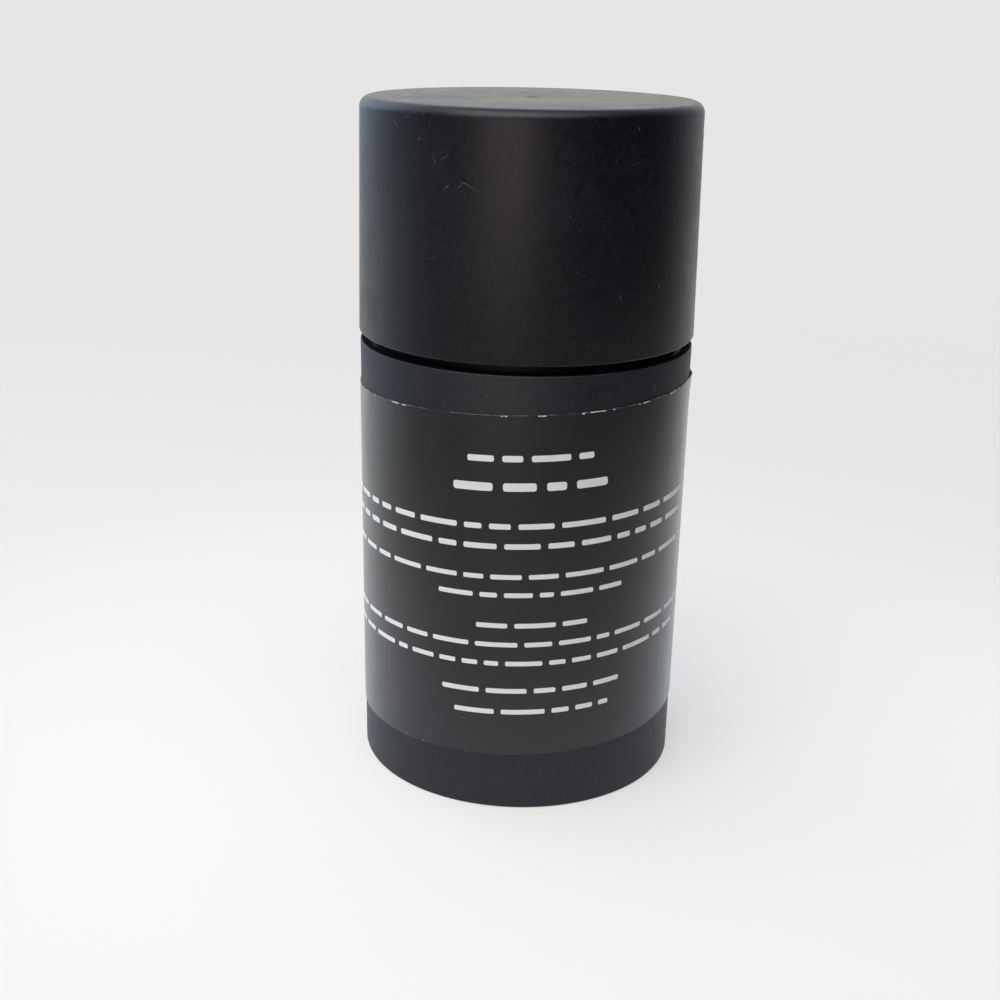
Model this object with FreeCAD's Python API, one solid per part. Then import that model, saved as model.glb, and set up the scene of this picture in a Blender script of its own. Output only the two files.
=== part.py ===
import FreeCAD
import Part

import math
import os

# A round twist-up deodorant stick with a pull-off cap, in millimetres.
# The stick stands on the rim of its outer sleeve at z = 0, with the axis of every
# turned piece on Z. The middle of the label faces -Y.
# From below, the pack is a sleeve with a recessed dial in its foot. The dial turns a
# left-hand screw that runs up the middle of the gel. The elevator is a nut on that
# screw, keyed to the chamber wall, and it carries the gel and its factory seal up.
# The cap is a shell with a liner inside that slides over the neck of the chamber.

V = FreeCAD.Vector
AXIS = V(0, 0, 1)
CENTRE = V(0, 0, 0)

# Outer sleeve
barrel_radius = 25.0          # at the top edge
barrel_draft = 0.28           # lost from the radius by the foot
barrel_height = 66.9
sleeve_wall = 1.4
sleeve_edge_round = 0.3
foot_round = 0.35
recess_depth = 10.8           # open space under the ledge, for the dial and fingertips
ledge_thickness = 1.5
ledge_overlap = 1.2           # how far the ledge reaches under the chamber wall

# Cap shell
cap_gap = 1.35                # open slot between the sleeve and the cap
cap_height = 33.75
cap_overhang = 0.18           # the cap's lip stands this much outside the sleeve
cap_draft = 0.39              # lost from the radius by the crown
cap_wall = 1.38
cap_roof = 1.8
cap_edge_round = 1.5
cap_inner_round = 0.8
lip_round = 0.25
gate_pit_radius = 1.3
gate_pit_depth = 0.3
gate_nub_radius = 0.45
gate_nub_height = 0.2

# Cap liner
liner_fit = 0.05
liner_wall = 0.8
liner_catch = 0.35            # height of the ridge in the shell that the liner stands on
liner_catch_reach = 0.3
liner_seat_gap = 0.05
liner_headroom = 11.8         # from the top of the seal's flange up to the liner's ceiling
liner_ceiling = 0.9
spacer_count = 4
spacer_thickness = 1.0
spacer_inner = 3.0
spacer_margin = 2.5           # left free between a spacer fin and the shell wall
stop_rib_count = 6
stop_rib_thickness = 1.0
stop_rib_overlap = 0.9        # how far a stop rib reaches in over the chamber's rim
stop_rib_gap = 0.1

# Chamber with its neck
chamber_wall = 1.4
chamber_floor = 1.8
neck_rise = 8.5               # height of the rim above the sleeve
bead_height = 0.25
bead_width = 1.5
bead_flat = 0.5               # width of the bead's crest
bead_drop = 3.9               # from the rim down to the middle of the bead
grip_clearance = 0.06
collar_fit = 0.05
collar_height = 3.3
collar_drop = 0.7             # the collar lies this far below the sleeve's top edge
rim_round = 0.4
key_count = 4
key_width = 2.0
key_height = 0.7
key_drop = 4.5                # from the rim down to the top of the keys
key_root = 0.5                # how deep a key is rooted in the wall

# Screw
screw_lead = 4.5
screw_root_radius = 3.9
screw_crest_radius = 5.0
screw_root_width = 2.5
screw_crest_width = 1.2
screw_drop = 2.0              # from the rim down to the screw's top end
screw_tip_chamfer = 1.2
thread_end_gap = 1.5
journal_radius = 4.2
journal_clearance = 0.08
flange_radius = 7.2
flange_thickness = 1.2
foot_flats = 6.6
foot_length = 8.0
foot_fit = 0.05

# Seal ring under the screw's flange
ring_section = 0.8
ring_fit = 0.03

# Elevator
elevator_clearance = 0.25
elevator_rest_gap = 0.3
deck_height = 3.4             # from the elevator's lower edge up to its deck
deck_thickness = 1.5
skirt_wall = 1.5
wiper_rise = 2.0
wiper_wall = 0.8
hub_radius = 7.5
nut_length = 9.0
nut_clearance = 0.2
key_clearance = 0.2
fin_count = 6
fin_thickness = 1.0
fin_reach = 16.0
fin_height = 5.0

# Gel
gel_clearance = 0.2
gel_fit = 0.05
gel_shoulder_drop = 1.6       # from the rim down to the edge of the dome
dome_rise = 4.0
gel_bore_clearance = 0.2
gel_bore_headroom = 0.5

# Factory seal on the gel
seal_gap = 0.1
seal_thickness = 0.8
seal_flange_thickness = 0.8
seal_flange_overhang = 0.1
seal_plug_clearance = 0.3
tab_length = 15.0
tab_thickness = 1.4
tab_height = 4.5
tab_round = 2.0

# Dial
dial_lift = 0.8               # the dial stays this far above the surface that the stick stands on
finger_gap = 5.4
dial_headroom = 0.9
dial_skirt_wall = 1.6
dial_plate = 1.8
dish_depth = 0.6
dish_margin = 2.4
dial_hub_radius = 6.6
dial_thrust_gap = 0.15
dial_web_count = 6
dial_web_thickness = 1.0
grip_count = 30
grip_round = 0.7
arrow_radius = 9.6
arrow_width = 1.6
arrow_sweep = 250.0
arrow_head_width = 4.4
arrow_head_length = 4.2
arrow_rise = 0.35

# Label
label_top = 61.4              # at the middle of the front
label_height = 52.3
label_thickness = 0.12
label_glue = 0.03
label_skew = 0.0313           # rise of the label for each millimetre around the sleeve
label_wrap = 352.0            # degrees of the sleeve that the label covers

# Places and radii that follow from the sizes above
cap_bottom = barrel_height + cap_gap
cap_top = cap_bottom + cap_height
sleeve_bore = barrel_radius - sleeve_wall
ledge_top = recess_depth + ledge_thickness
floor_top = ledge_top + chamber_floor
rim_z = barrel_height + neck_rise
bead_z = rim_z - bead_drop
liner_bottom = cap_bottom + liner_catch + liner_seat_gap


def barrel_outer(z):
    """Outer radius of the sleeve at a height."""
    return barrel_radius - barrel_draft * (1 - z / barrel_height)


def cap_outer(z):
    """Outer radius of the cap at a height."""
    return barrel_radius + cap_overhang - cap_draft * (z - cap_bottom) / cap_height


def cap_inner(z):
    """Inner radius of the cap shell at a height."""
    return cap_outer(z) - cap_wall


def liner_inner(z):
    """Inner radius of the cap liner at a height."""
    return cap_inner(z) - liner_fit - liner_wall


neck_radius = liner_inner(bead_z) - grip_clearance - bead_height
bore_radius = neck_radius - chamber_wall
collar_radius = sleeve_bore - collar_fit
collar_top = barrel_height - collar_drop
ledge_bore = neck_radius - ledge_overlap

ring_radius = journal_radius + ring_fit + ring_section
flange_bottom = floor_top + 2 * ring_section + 2 * ring_fit
flange_top = flange_bottom + flange_thickness
screw_top = rim_z - screw_drop

elevator_bottom = flange_top + elevator_rest_gap
deck_top = elevator_bottom + deck_height
hub_top = elevator_bottom + nut_length
hub_bore = screw_root_radius + nut_clearance
elevator_radius = bore_radius - elevator_clearance
wiper_inner = elevator_radius - wiper_wall
wiper_top = deck_top + wiper_rise

gel_radius = bore_radius - gel_clearance
gel_shoulder = rim_z - gel_shoulder_drop
dome_radius = (gel_radius**2 + dome_rise**2) / (2 * dome_rise)
dome_centre = gel_shoulder + dome_rise - dome_radius
gel_bore_radius = screw_crest_radius + gel_bore_clearance
gel_bore_top = screw_top + gel_bore_headroom

seal_flange_top = rim_z + seal_flange_thickness
seal_plug_radius = bore_radius - seal_plug_clearance
ceiling_bottom = seal_flange_top + liner_headroom
ceiling_top = ceiling_bottom + liner_ceiling
roof_bottom = cap_top - cap_roof

dial_radius = sleeve_bore - finger_gap
dial_top = recess_depth - dial_headroom
dial_plate_top = dial_lift + dial_plate
dial_hub_top = ledge_top - dial_thrust_gap
grip_ring_radius = dial_radius - grip_round


def corner_arc(before, corner, after, radius):
    """Both ends and the middle of the arc that rounds one corner of an outline."""
    into = (before - corner).normalize()
    out = (after - corner).normalize()
    half = into.getAngle(out) / 2
    shorter = min((before - corner).Length, (after - corner).Length)
    setback = min(radius / math.tan(half), 0.45 * shorter)
    radius = setback * math.tan(half)
    middle = (into + out).normalize()
    centre = corner + middle * (radius / math.sin(half))
    return corner + into * setback, centre - middle * radius, corner + out * setback


def outline(corners):
    """A closed wire in the XZ plane through (r, z) or (r, z, rounding) corners."""
    points = [V(c[0], 0, c[1]) for c in corners]
    edges = []
    ends = []
    for i, corner in enumerate(corners):
        if len(corner) == 3:
            before = points[i - 1]
            after = points[(i + 1) % len(points)]
            start, middle, end = corner_arc(before, points[i], after, corner[2])
            ends.append((start, end, Part.Arc(start, middle, end).toShape()))
        else:
            ends.append((points[i], points[i], None))
    for i, (start, end, arc) in enumerate(ends):
        if arc is not None:
            edges.append(arc)
        following = ends[(i + 1) % len(ends)][0]
        edges.append(Part.LineSegment(end, following).toShape())
    return Part.Wire(edges)


def lathe(corners):
    """The solid that an outline turns about Z."""
    return Part.Face(outline(corners)).revolve(CENTRE, AXIS, 360)


def tube(outer, inner, bottom, top):
    """A plain round tube."""
    return lathe([(inner, bottom), (outer, bottom), (outer, top), (inner, top)])


def block(inner, outer, width, bottom, top):
    """A radial block along +X, from one radius to another and centred on the axis."""
    return Part.makeBox(outer - inner, width, top - bottom, V(inner, -width / 2, bottom))


def around(shape, count, start=0.0):
    """Copies of a shape, evenly spaced about Z."""
    copies = []
    for i in range(count):
        copy = shape.copy()
        copy.rotate(CENTRE, AXIS, start + 360.0 * i / count)
        copies.append(copy)
    return copies


def swept_about_axis(profile, pitch, height, radius, left_handed):
    """A closed profile swept along a helix about Z that starts at the profile."""
    path = Part.makeLongHelix(pitch, height, radius, 0, left_handed)
    path.translate(V(0, 0, profile.CenterOfMass.z))
    sweep = Part.BRepOffsetAPI.MakePipeShell(Part.Wire(path.Edges))
    sweep.setFrenetMode(True)
    sweep.add(profile)
    sweep.build()
    sweep.makeSolid()
    return sweep.shape()


def thread(bottom, top, root_radius, crest_radius, root_width, crest_width):
    """A left-hand thread ridge. Its turns lie at the same angle for any bottom and top."""
    profile = Part.makePolygon([
        V(root_radius, 0, -root_width / 2),
        V(crest_radius, 0, -crest_width / 2),
        V(crest_radius, 0, crest_width / 2),
        V(root_radius, 0, root_width / 2),
        V(root_radius, 0, -root_width / 2),
    ])
    ridge = swept_about_axis(profile, screw_lead, top - bottom, root_radius, True)
    ridge.translate(V(0, 0, bottom))
    ridge.rotate(CENTRE, AXIS, -360.0 * bottom / screw_lead)
    return ridge


def outer_sleeve():
    top_round = sleeve_edge_round
    return lathe([
        (sleeve_bore, 0),
        (barrel_outer(0), 0, foot_round),
        (barrel_outer(barrel_height), barrel_height, top_round),
        (sleeve_bore, barrel_height, top_round),
        (sleeve_bore, ledge_top),
        (ledge_bore, ledge_top),
        (ledge_bore, recess_depth),
        (sleeve_bore, recess_depth),
    ])


def chamber_keys(width, height, bottom, top):
    """The keys on the chamber wall, or the grooves that run along them."""
    key = block(bore_radius - height, bore_radius + key_root, width, bottom, top)
    return around(key, key_count, start=180.0 / key_count)


def inner_barrel():
    body = lathe([
        (journal_radius + journal_clearance, ledge_top),
        (neck_radius, ledge_top),
        (neck_radius, collar_top - collar_height),
        (collar_radius, collar_top - collar_height),
        (collar_radius, collar_top),
        (neck_radius, collar_top),
        (neck_radius, bead_z - bead_width / 2),
        (neck_radius + bead_height, bead_z - bead_flat / 2),
        (neck_radius + bead_height, bead_z + bead_flat / 2),
        (neck_radius, bead_z + bead_width / 2),
        (neck_radius, rim_z, rim_round),
        (bore_radius, rim_z, rim_round),
        (bore_radius, floor_top),
        (journal_radius + journal_clearance, floor_top),
    ])
    keys = chamber_keys(key_width, key_height, floor_top - key_root, rim_z - key_drop)
    return body.fuse(keys)


def label():
    low = label_top - label_height
    gap = label_glue
    skin = label_glue + label_thickness
    profile = Part.makePolygon([
        V(barrel_outer(low) + gap, 0, low),
        V(barrel_outer(low) + skin, 0, low),
        V(barrel_outer(label_top) + skin, 0, label_top),
        V(barrel_outer(label_top) + gap, 0, label_top),
        V(barrel_outer(low) + gap, 0, low),
    ])
    pitch = 2 * math.pi * barrel_radius * label_skew
    rise = pitch * label_wrap / 360.0
    wrap = swept_about_axis(profile, pitch, rise, barrel_radius, False)
    wrap.translate(V(0, 0, -rise / 2))
    wrap.rotate(CENTRE, AXIS, 270.0 - label_wrap / 2)
    return wrap


def cap_shell():
    lip = cap_inner(cap_bottom) - liner_catch_reach
    catch_top = cap_bottom + liner_catch
    body = lathe([
        (lip, cap_bottom, lip_round / 2),
        (cap_outer(cap_bottom), cap_bottom, lip_round),
        (cap_outer(cap_top), cap_top, cap_edge_round),
        (0, cap_top),
        (0, roof_bottom),
        (cap_inner(roof_bottom), roof_bottom, cap_inner_round),
        (cap_inner(catch_top), catch_top),
        (lip, catch_top),
    ])
    pit_floor = cap_top - gate_pit_depth
    pit = Part.makeCone(
        gate_pit_radius - gate_pit_depth, gate_pit_radius, gate_pit_depth, V(0, 0, pit_floor)
    )
    nub = Part.makeCylinder(gate_nub_radius, gate_nub_height, V(0, 0, pit_floor))
    return body.cut(pit).fuse(nub)


def cap_liner():
    skirt_top = cap_inner(ceiling_top) - liner_fit
    skirt_bottom = cap_inner(liner_bottom) - liner_fit
    body = lathe([
        (liner_inner(liner_bottom), liner_bottom),
        (skirt_bottom, liner_bottom),
        (skirt_top, ceiling_top, liner_wall / 2),
        (0, ceiling_top),
        (0, ceiling_bottom),
        (liner_inner(ceiling_bottom), ceiling_bottom, liner_wall),
    ])
    spacer_outer = cap_inner(roof_bottom) - spacer_margin
    spacer = block(
        spacer_inner, spacer_outer, spacer_thickness,
        ceiling_top - liner_ceiling / 2, roof_bottom - liner_seat_gap,
    )
    rib = block(
        neck_radius - stop_rib_overlap, liner_inner(ceiling_bottom) + liner_wall / 2,
        stop_rib_thickness, seal_flange_top + stop_rib_gap, ceiling_bottom + liner_ceiling / 2,
    )
    return body.fuse(around(spacer, spacer_count) + around(rib, stop_rib_count))


def factory_seal():
    inner_sphere = dome_radius + seal_gap
    outer_sphere = inner_sphere + seal_thickness
    plug_inner = seal_plug_radius - seal_thickness

    def on_sphere(sphere, radius):
        return V(radius, 0, dome_centre + math.sqrt(sphere**2 - radius**2))

    low_edge = on_sphere(inner_sphere, seal_plug_radius)
    low_middle = on_sphere(inner_sphere, seal_plug_radius / 2)
    low_top = V(0, 0, dome_centre + inner_sphere)
    high_edge = on_sphere(outer_sphere, plug_inner)
    high_middle = on_sphere(outer_sphere, plug_inner / 2)
    high_top = V(0, 0, dome_centre + outer_sphere)
    flange_radius_out = neck_radius + seal_flange_overhang
    corners = [
        low_edge,
        V(seal_plug_radius, 0, rim_z),
        V(flange_radius_out, 0, rim_z),
        V(flange_radius_out, 0, seal_flange_top),
        V(plug_inner, 0, seal_flange_top),
        high_edge,
    ]
    edges = [Part.LineSegment(a, b).toShape() for a, b in zip(corners, corners[1:])]
    edges.append(Part.Arc(high_edge, high_middle, high_top).toShape())
    edges.append(Part.LineSegment(high_top, low_top).toShape())
    edges.append(Part.Arc(low_top, low_middle, low_edge).toShape())
    body = Part.Face(Part.Wire(edges)).revolve(CENTRE, AXIS, 360)
    tab_root = dome_centre + inner_sphere + seal_thickness / 2
    tab_bottom = tab_root - seal_thickness
    tab_top = tab_root + seal_thickness / 2 + tab_height
    tab = Part.makeBox(
        tab_length, tab_thickness, tab_top - tab_bottom,
        V(-tab_length / 2, -tab_thickness / 2, tab_bottom),
    )
    corners_up = [
        e for e in tab.Edges
        if abs(e.CenterOfMass.z - tab_top) < 1e-6 and abs(e.CenterOfMass.y) < 1e-6
    ]
    tab = tab.makeFillet(tab_round, corners_up)
    hollow = Part.makeSphere(inner_sphere, V(0, 0, dome_centre))
    return body.fuse(tab.cut(hollow))


def gel_stick():
    dome_middle = V(gel_radius / 2, 0, dome_centre + math.sqrt(dome_radius**2 - gel_radius**2 / 4))
    foot = wiper_inner - gel_fit
    hub = hub_radius + gel_fit
    corners = [
        V(0, 0, gel_shoulder + dome_rise),
        V(0, 0, gel_bore_top),
        V(gel_bore_radius, 0, gel_bore_top),
        V(gel_bore_radius, 0, hub_top),
        V(hub, 0, hub_top),
        V(hub, 0, deck_top),
        V(foot, 0, deck_top),
        V(foot, 0, wiper_top),
        V(gel_radius, 0, wiper_top),
        V(gel_radius, 0, gel_shoulder),
    ]
    edges = [Part.LineSegment(a, b).toShape() for a, b in zip(corners, corners[1:])]
    edges.append(Part.Arc(corners[-1], dome_middle, corners[0]).toShape())
    body = Part.Face(Part.Wire(edges)).revolve(CENTRE, AXIS, 360)
    grooves = chamber_keys(
        key_width + 2 * gel_clearance, key_height + gel_clearance,
        deck_top, rim_z - key_drop + gel_clearance,
    )
    slots = around(
        block(0, fin_reach + gel_fit, fin_thickness + 2 * gel_fit, deck_top, deck_top + fin_height),
        fin_count,
    )
    return body.cut(grooves + slots)


def elevator_cup():
    skirt_inner = elevator_radius - skirt_wall
    deck_bottom = deck_top - deck_thickness
    body = lathe([
        (hub_bore, elevator_bottom),
        (hub_radius, elevator_bottom),
        (hub_radius, deck_bottom),
        (skirt_inner, deck_bottom),
        (skirt_inner, elevator_bottom),
        (elevator_radius, elevator_bottom),
        (elevator_radius, wiper_top),
        (wiper_inner, wiper_top),
        (wiper_inner, deck_top),
        (hub_radius, deck_top),
        (hub_radius, hub_top),
        (hub_bore, hub_top),
    ])
    fin = block(
        (hub_bore + hub_radius) / 2, fin_reach, fin_thickness,
        deck_top - deck_thickness / 2, deck_top + fin_height,
    )
    body = body.fuse(around(fin, fin_count))
    notches = chamber_keys(
        key_width + 2 * key_clearance, key_height + key_clearance,
        elevator_bottom - key_clearance, wiper_top + key_clearance,
    )
    turns = thread(
        elevator_bottom - 2 * screw_lead, hub_top + 2 * screw_lead,
        screw_root_radius, screw_crest_radius + nut_clearance,
        screw_root_width + 2 * nut_clearance, screw_crest_width + 2 * nut_clearance,
    )
    return body.cut(notches).cut(turns)


def spindle():
    root = (screw_root_radius + hub_bore) / 2 - nut_clearance
    tip_radius = screw_root_radius - screw_tip_chamfer
    body = lathe([
        (0, dial_hub_top),
        (journal_radius, dial_hub_top),
        (journal_radius, flange_bottom),
        (flange_radius, flange_bottom),
        (flange_radius, flange_top),
        (screw_root_radius, flange_top),
        (screw_root_radius, screw_top - screw_tip_chamfer),
        (tip_radius, screw_top),
        (0, screw_top),
    ])
    half_width = screw_root_width / 2
    turns = thread(
        flange_top + half_width + elevator_rest_gap, screw_top - thread_end_gap - half_width,
        root, screw_crest_radius, screw_root_width, screw_crest_width,
    )
    foot = hexagon(foot_flats, dial_hub_top - foot_length, dial_hub_top)
    return body.fuse([turns, foot])


def hexagon(flats, bottom, top):
    """A hexagonal prism, measured across its flats."""
    reach = flats / 2 / math.cos(math.pi / 6)
    corners = [
        V(reach * math.cos(math.pi * i / 3), reach * math.sin(math.pi * i / 3), bottom)
        for i in range(7)
    ]
    return Part.Face(Part.makePolygon(corners)).extrude(V(0, 0, top - bottom))


def spindle_seal():
    return Part.makeTorus(ring_radius, ring_section, V(0, 0, floor_top + ring_fit + ring_section))


def turning_arrow():
    """The raised arrow under the dial, which points the way that lifts the gel."""
    bottom = dial_lift + dish_depth - arrow_rise
    top = dial_lift + dish_depth + arrow_rise
    band = Part.Face(outline([
        (arrow_radius - arrow_width / 2, bottom),
        (arrow_radius + arrow_width / 2, bottom),
        (arrow_radius + arrow_width / 2, top),
        (arrow_radius - arrow_width / 2, top),
    ])).revolve(CENTRE, AXIS, arrow_sweep)
    head = Part.Face(Part.makePolygon([
        V(arrow_radius - arrow_head_width / 2, 0, bottom),
        V(arrow_radius + arrow_head_width / 2, 0, bottom),
        V(arrow_radius, arrow_head_length, bottom),
        V(arrow_radius - arrow_head_width / 2, 0, bottom),
    ])).extrude(V(0, 0, top - bottom))
    head.rotate(CENTRE, AXIS, arrow_sweep)
    return band.fuse(head)


def dial():
    hub_bottom = dial_plate_top - dial_plate / 2
    skirt_inner = grip_ring_radius - dial_skirt_wall
    dish_radius = grip_ring_radius - dish_margin
    body = lathe([
        (0, dial_lift + dish_depth),
        (dish_radius, dial_lift + dish_depth, dish_depth),
        (dish_radius + dish_depth, dial_lift),
        (grip_ring_radius, dial_lift, grip_round),
        (grip_ring_radius, dial_top, grip_round),
        (skirt_inner, dial_top),
        (skirt_inner, dial_plate_top),
        (0, dial_plate_top),
    ])
    hub = Part.makeCylinder(dial_hub_radius, dial_hub_top - hub_bottom, V(0, 0, hub_bottom))
    web = block(
        dial_hub_radius / 2, skirt_inner + dial_skirt_wall / 2, dial_web_thickness,
        hub_bottom, dial_top - dial_headroom,
    )
    grip = Part.makeCylinder(
        grip_round, dial_top - dial_lift - 4 * grip_round,
        V(grip_ring_radius, 0, dial_lift + 2 * grip_round),
    )
    tips = [
        Part.makeSphere(grip_round, V(grip_ring_radius, 0, dial_lift + 2 * grip_round)),
        Part.makeSphere(grip_round, V(grip_ring_radius, 0, dial_top - 2 * grip_round)),
    ]
    body = body.fuse([hub] + around(web, dial_web_count))
    body = body.fuse(around(grip.fuse(tips), grip_count))
    body = body.fuse(turning_arrow())
    socket_bottom = dial_hub_top - foot_length - foot_fit
    return body.cut(hexagon(foot_flats + 2 * foot_fit, socket_bottom, dial_hub_top))


PIECES = {
    "outer_sleeve": outer_sleeve,
    "inner_barrel": inner_barrel,
    "label": label,
    "cap_shell": cap_shell,
    "cap_liner": cap_liner,
    "factory_seal": factory_seal,
    "gel_stick": gel_stick,
    "elevator_cup": elevator_cup,
    "spindle": spindle,
    "spindle_seal": spindle_seal,
    "dial": dial,
}


def main():
    os.makedirs("parts", exist_ok=True)
    for name, make in PIECES.items():
        shape = make()
        shape.exportStep(os.path.join("parts", name + ".step"))


main()
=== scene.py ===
import math
import random

import bmesh
import bpy
from bpy.props import FloatProperty, FloatVectorProperty, IntProperty, PointerProperty
from mathutils import Matrix, Vector


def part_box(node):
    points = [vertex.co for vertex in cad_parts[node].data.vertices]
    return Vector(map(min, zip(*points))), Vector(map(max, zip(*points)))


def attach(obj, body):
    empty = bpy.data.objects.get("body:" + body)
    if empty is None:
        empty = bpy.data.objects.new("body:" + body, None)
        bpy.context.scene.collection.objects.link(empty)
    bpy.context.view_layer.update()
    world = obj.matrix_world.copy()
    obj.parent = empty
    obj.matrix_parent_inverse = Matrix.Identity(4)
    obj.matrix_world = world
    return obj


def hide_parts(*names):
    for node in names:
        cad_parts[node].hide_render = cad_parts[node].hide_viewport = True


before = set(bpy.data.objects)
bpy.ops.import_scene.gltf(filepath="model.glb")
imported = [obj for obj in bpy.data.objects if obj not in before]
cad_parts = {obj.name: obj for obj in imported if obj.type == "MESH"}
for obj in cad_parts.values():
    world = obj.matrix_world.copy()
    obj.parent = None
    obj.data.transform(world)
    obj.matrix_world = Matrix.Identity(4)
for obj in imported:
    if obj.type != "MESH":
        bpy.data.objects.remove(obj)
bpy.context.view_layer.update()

bl_info = {
    "name": "Twist-up Stick",
    "version": (1, 0, 0),
    "blender": (4, 5, 0),
    "location": "View3D > Sidebar > Stick",
    "description": "Builds the looks of a round twist-up stick pack around its packed frame",
    "category": "Object",
}

MM = 0.001
CAP_LOW, CAP_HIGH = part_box("cap_shell")
SLEEVE_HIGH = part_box("outer_sleeve")[1]

# How far a point may lie from the ring, height or end that it is picked by
TOLERANCE = 0.01 * MM

# Places on the label in millimetres: lengths along it start at the middle of the pack's front
# and run to the reader's right, and a row's height starts at the foot of the sleeve
CHIPS = [
    # along, length, depth
    (-26.0, 0.4, 0.13), (-20.4, 1.6, 0.15), (-18.65, 0.9, 0.17), (-3.0, 0.42, 0.15),
    (-2.45, 0.42, 0.17), (2.15, 0.50, 0.17), (2.75, 0.75, 0.19), (8.3, 0.48, 0.24),
    (9.6, 0.6, 0.16), (10.5, 1.4, 0.13), (11.4, 0.7, 0.18), (13.0, 0.40, 0.15), (17.5, 0.36, 0.15),
    (18.9, 1.4, 0.15), (25.0, 0.8, 0.22), (26.05, 0.45, 0.16), (29.5, 0.75, 0.24),
]
# The loose stretch of the label's upper edge: its middle, its reach to the left and to the
# right of that, and how far down from the edge the film stands off
LOOSE_CENTRE = 36.9
LOOSE_REACH_LEFT = 4.6
LOOSE_REACH_RIGHT = 1.1
LOOSE_DEPTH = 5.0
# The print: the middle of its rows, its words' lengths at one thickness of bar, and the least
# that may be left for a row's last word
PRINT_CENTRE = 1.8
WORD_LENGTHS = (2.0, 7.0)
SHORTEST_WORD = 1.6
PRINT_ROWS = [
    # height, half width, bar thickness
    (55.2, 9.0, 0.92), (51.05, 11.2, 1.22), (45.2, 37.5, 0.82), (42.2, 37.5, 0.82),
    (37.55, 37.5, 0.72), (34.75, 14.0, 0.72), (30.0, 8.2, 0.74), (27.0, 37.5, 0.72),
    (24.0, 37.0, 0.72), (19.6, 13.8, 0.76), (16.2, 11.9, 0.76),
]

# Places of lint: degrees round the pack from the middle of its front to the reader's right,
# and the height above its foot in millimetres
CAP_FIBRES = [
    # start, end, swing in millimetres
    ((-47.9, 99.7), (-46.6, 99.0), 0.20), ((-31.3, 95.9), (-30.4, 94.7), 0.10),
    ((-28.5, 95.3), (-26.0, 95.85), -0.12), ((-27.3, 91.2), (-25.3, 91.95), 0.12),
    ((-22.5, 91.7), (-17.6, 91.6), 0.80), ((46.7, 78.3), (45.8, 77.8), 0.12),
    ((30.2, 77.8), (30.4, 77.0), 0.10), ((34.2, 99.9), (35.0, 99.2), 0.20),
    ((14.6, 81.2), (15.6, 80.9), 0.10),
]
SLEEVE_FIBRES = [
    ((46.4, 64.3), (47.7, 63.1), 0.20), ((-43.0, 8.9), (-41.2, 8.6), 0.12),
    ((-34.6, 8.9), (-33.9, 8.7), 0.08), ((-18.8, 14.4), (-17.6, 14.3), 0.10),
]
FIBRE_STEPS = 4
CAP_SPECKS = [
    # degrees, height, radius in millimetres
    (-41.2, 100.3, 0.10), (-36.5, 97.6, 0.07), (12.6, 88.4, 0.06), (33.1, 94.9, 0.07),
]
SLEEVE_SPECKS = [
    (-34.1, 8.8, 0.08), (-17.7, 9.0, 0.07), (9.0, 6.0, 0.09), (44.2, 2.9, 0.09), (-12.0, 63.9, 0.06),
]

LAMPS = [
    # name, place, the point it shines at, width and height, power, colour
    ("window", (-0.72, 0.28, 0.52), (0, 0, 0.04), (0.8, 0.6), 1.6, (0.86, 0.95, 1.0)),
    ("key", (-0.30, -0.50, 0.80), (0, 0, 0.04), (0.8, 0.8), 3.6, (0.98, 0.99, 1.0)),
    ("overhead", (-0.05, -0.28, 0.86), (0, 0, 0.05), (1.0, 0.8), 4.0, (1.0, 0.99, 0.97)),
    ("card", (-0.10, -0.42, 0.11), (0, 0, 0.10), (0.25, 0.20), 0.27, (1.0, 0.78, 0.70)),
]


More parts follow.
